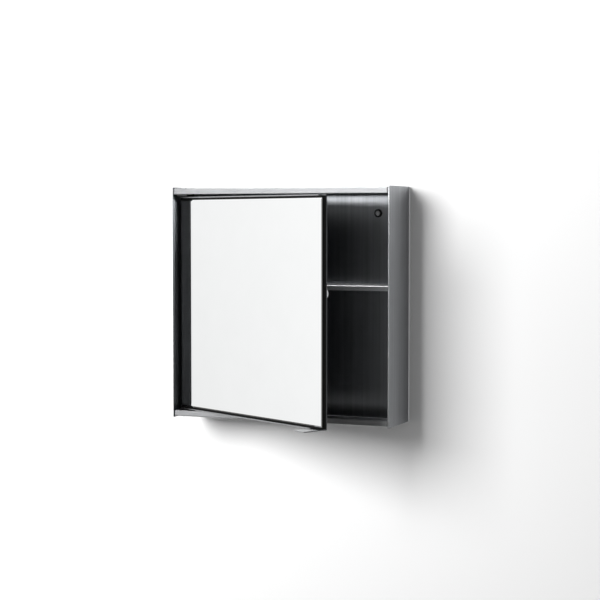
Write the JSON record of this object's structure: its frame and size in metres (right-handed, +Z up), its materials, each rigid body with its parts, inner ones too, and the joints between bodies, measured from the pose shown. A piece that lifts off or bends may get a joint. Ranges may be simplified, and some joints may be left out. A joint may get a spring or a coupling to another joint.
{
  "type": "mirrored medicine cabinet",
  "caption": "Wall-hung square cabinet in folded brushed steel, with a shelf and a mirrored door that swings on pins at its left edge and closes on a magnet.",
  "frame": {"origin": "middle of the back face, on the wall", "axes": "+Y into the wall, so the front faces -Y; +Z up; +X to the right for someone in front"},
  "size_m": [0.4, 0.2913, 0.4],
  "materials": {
    "brushed_steel": "brushed, dark grey stainless steel sheet",
    "plain_steel": "plain zinc-plated steel",
    "black_plastic": "matt black",
    "black_rubber": "matt black rubber",
    "ferrite": "sintered ferrite, dark grey",
    "mirror": "silvered float glass with a fine bevel"
  },
  "bodies": {
    "cabinet": {"back_panel": "brushed_steel", "left_side": "brushed_steel", "right_side": "brushed_steel", "top_panel": "brushed_steel", "bottom_panel": "brushed_steel", "shelf": "brushed_steel", "rivet_left_top_front": "brushed_steel", "rivet_left_top_rear": "brushed_steel", "rivet_left_shelf_front": "brushed_steel", "rivet_left_shelf_rear": "brushed_steel", "rivet_left_bottom_front": "brushed_steel", "rivet_left_bottom_rear": "brushed_steel", "rivet_right_top_front": "brushed_steel", "rivet_right_top_rear": "brushed_steel", "rivet_right_shelf_front": "brushed_steel", "rivet_right_shelf_rear": "brushed_steel", "rivet_right_bottom_front": "brushed_steel", "rivet_right_bottom_rear": "brushed_steel", "wall_screw_left": "plain_steel", "wall_screw_right": "plain_steel", "wall_washer_left": "black_rubber", "wall_washer_right": "black_rubber", "hinge_block_upper": "black_plastic", "hinge_block_lower": "black_plastic", "hinge_pin_upper": "plain_steel", "hinge_pin_lower": "plain_steel", "block_screw_upper_front": "plain_steel", "block_screw_upper_rear": "plain_steel", "block_screw_lower_front": "plain_steel", "block_screw_lower_rear": "plain_steel"},
    "door": {"door_back_plate": "brushed_steel", "door_core": "black_plastic", "mirror_glass": "mirror", "hinge_bush_upper": "black_plastic", "hinge_bush_lower": "black_plastic", "magnet_pot": "plain_steel", "magnet_ring": "ferrite", "magnet_screw": "plain_steel"}
  },
  "joints": [
    {"name": "door_hinge", "type": "hinge", "parent": "cabinet", "child": "door", "pos_m": [-0.1832, -0.08075, 0], "axis": [0, 0, -1], "range_deg": [-28, 77]}
  ]
}
